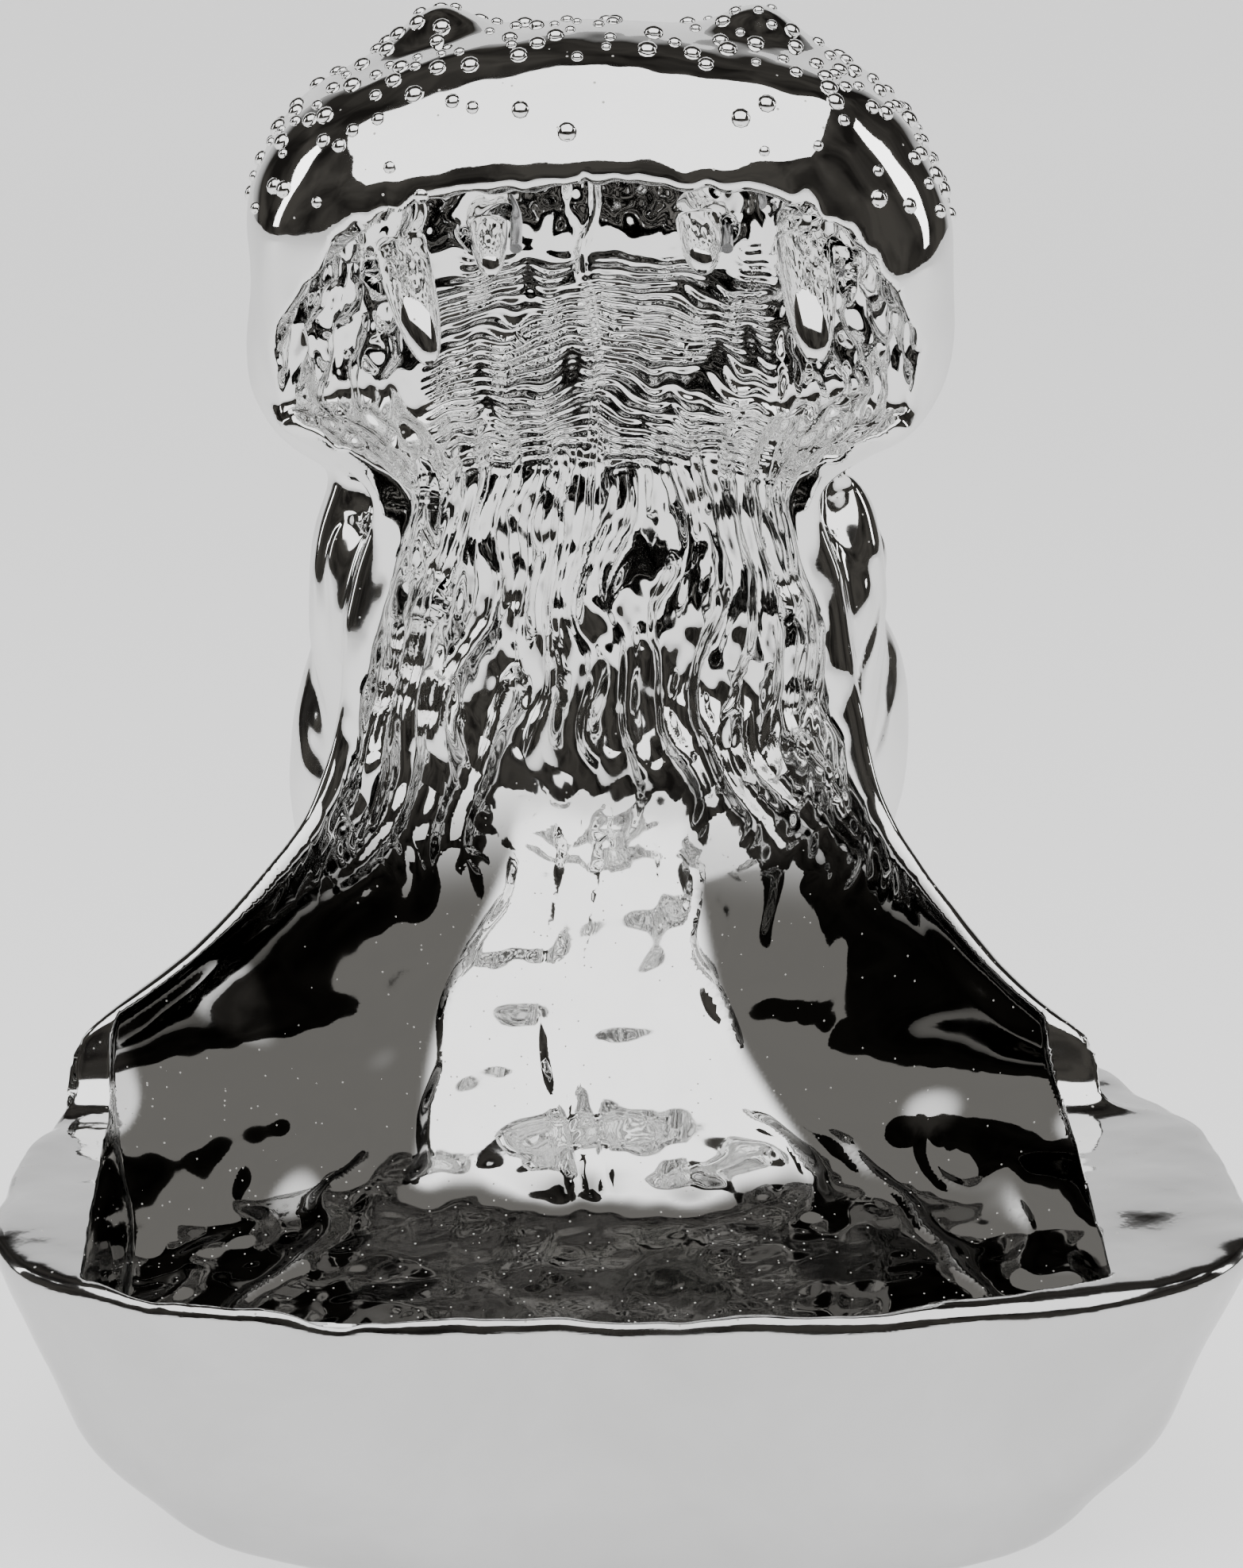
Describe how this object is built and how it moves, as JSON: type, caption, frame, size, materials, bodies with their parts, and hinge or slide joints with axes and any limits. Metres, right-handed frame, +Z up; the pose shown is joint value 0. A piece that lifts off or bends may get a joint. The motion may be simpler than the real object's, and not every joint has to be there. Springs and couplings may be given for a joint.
{
  "type": "animal head bowl",
  "caption": "Mirror-plated hippopotamus head with a wide open mouth, whose broad lower jaw is a bowl for small things.",
  "frame": {"origin": "bottom centre of the whole head, on the surface that it stands on", "axes": "+Z up, -Y the way the mouth faces, +X to the right of someone who looks into the mouth"},
  "size_m": [0.2997, 0.3062, 0.3594],
  "materials": {
    "plating": "mirror plated casting",
    "steel": "turned",
    "rubber": "matt",
    "board": "matt black sheet"
  },
  "bodies": {
    "root": {"lower_jaw_bowl": "plating", "mouth_liner": "plating", "tongue": "plating", "palate": "plating", "upper_canine_left": "plating", "upper_canine_right": "plating", "upper_incisor_left": "plating", "upper_incisor_right": "plating", "muzzle_shell": "plating", "neck_shell_left": "plating", "neck_shell_right": "plating", "ear_left": "plating", "ear_right": "plating", "eye_left": "plating", "eye_right": "plating", "tooth_pins": "steel", "ear_pins": "steel", "base_screws": "steel", "base_plate": "board", "rubber_feet": "rubber"}
  },
  "joints": []
}
